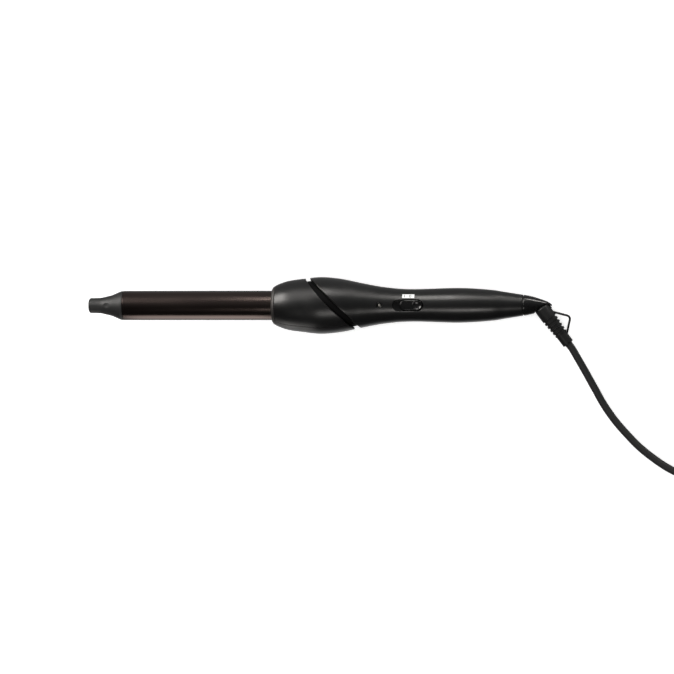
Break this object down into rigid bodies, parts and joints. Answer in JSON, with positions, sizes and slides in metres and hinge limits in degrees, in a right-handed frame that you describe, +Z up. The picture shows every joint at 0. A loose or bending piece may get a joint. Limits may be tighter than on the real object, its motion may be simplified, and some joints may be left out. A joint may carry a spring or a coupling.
{
  "type": "curling wand",
  "caption": "Clipless curling wand with a cool tip, heated barrel, bulbous slanted-joint body, slide switch, swivelling angled cord exit with hanging loop, cord and plug.",
  "frame": {"origin": "middle of the underside of the iron without its cord, on the surface that it lies on", "axes": "+X from the cool tip toward the cord end, +Z up through the switch, +Y across"},
  "size_m": [0.6156, 0.1775, 0.0494],
  "materials": {
    "tip_plastic": "fine matt moulding",
    "barrel_coating": "semi-gloss dark brown ceramic coat",
    "collar_metal": "satin grey",
    "shell_plastic": "satin",
    "handle_plastic": "satin soft-touch",
    "knob_plastic": "satin",
    "cap_plastic": "gloss",
    "inner_plastic": "gloss",
    "relief_rubber": "satin moulded",
    "cord_jacket": "matt extruded PVC",
    "tie_strap": "woven hook-and-loop",
    "plug_plastic": "satin",
    "pin_metal": "polished nickel plate",
    "legend_plate": "printed white",
    "lens_plastic": "clear diffusing",
    "insulator": "moulded phenolic",
    "aluminium": "extruded",
    "steel": "zinc plated",
    "brass": "plain",
    "heater_film": "polyimide film wrap",
    "bead": "glass bead",
    "circuit_board": "solder resist",
    "capacitor_case": "dipped",
    "lead_sleeve": "braided glass sleeve"
  },
  "bodies": {
    "cord_end": {"strain_relief": "relief_rubber", "cord_ball": "inner_plastic", "hanging_loop": "relief_rubber", "cord_tube": "cord_jacket", "cord_coil": "cord_jacket", "cord_tail": "cord_jacket", "coil_tie": "tie_strap", "plug_body": "plug_plastic", "plug_pin_live": "pin_metal", "plug_pin_neutral": "pin_metal"},
    "swivel_cap": {"swivel_cap_upper": "cap_plastic", "swivel_cap_lower": "cap_plastic", "retaining_clip": "steel", "contact_ring_live": "brass", "contact_ring_neutral": "brass"},
    "iron": {"cool_tip": "tip_plastic", "tip_disc": "insulator", "tip_screw": "steel", "barrel_tube": "barrel_coating", "heating_element": "heater_film", "heater_spring": "steel", "thermal_fuse": "steel", "temperature_sensor": "bead", "collar_ring": "collar_metal", "barrel_mount": "insulator", "core_sleeve": "inner_plastic", "heater_block_upper": "aluminium", "heater_block_lower": "aluminium", "front_shell_upper": "shell_plastic", "front_shell_lower": "shell_plastic", "handle_shell_upper": "handle_plastic", "handle_shell_lower": "handle_plastic", "handle_screw_1": "steel", "handle_screw_2": "steel", "handle_screw_3": "steel", "handle_screw_4": "steel", "switch_body": "inner_plastic", "switch_legend": "legend_plate", "led_bezel": "inner_plastic", "led_lens": "lens_plastic", "led": "lens_plastic", "control_board": "circuit_board", "capacitor": "capacitor_case", "triac": "inner_plastic", "swivel_bush": "insulator", "heater_lead_live": "lead_sleeve", "heater_lead_neutral": "lead_sleeve", "contact_brush_live": "brass", "contact_brush_neutral": "brass"},
    "power_switch": {"switch_knob": "knob_plastic", "switch_slider": "insulator"}
  },
  "joints": [
    {"name": "cord_tilt", "type": "hinge", "parent": "cord_end", "child": "swivel_cap", "pos_m": [0.17789, 0.00559, 0.00986], "axis": [0.0767, 0, 0.9971], "range_deg": [-5, 12]},
    {"name": "cord_swivel", "type": "hinge", "parent": "swivel_cap", "child": "iron", "pos_m": [0.17789, 0.00559, 0.00986], "axis": [0.9971, 0, -0.0767], "continuous": true},
    {"name": "switch_slide", "type": "slide", "parent": "iron", "child": "power_switch", "axis": [-0.9971, 0, 0.0767], "range_m": [0, 0.0055]}
  ]
}
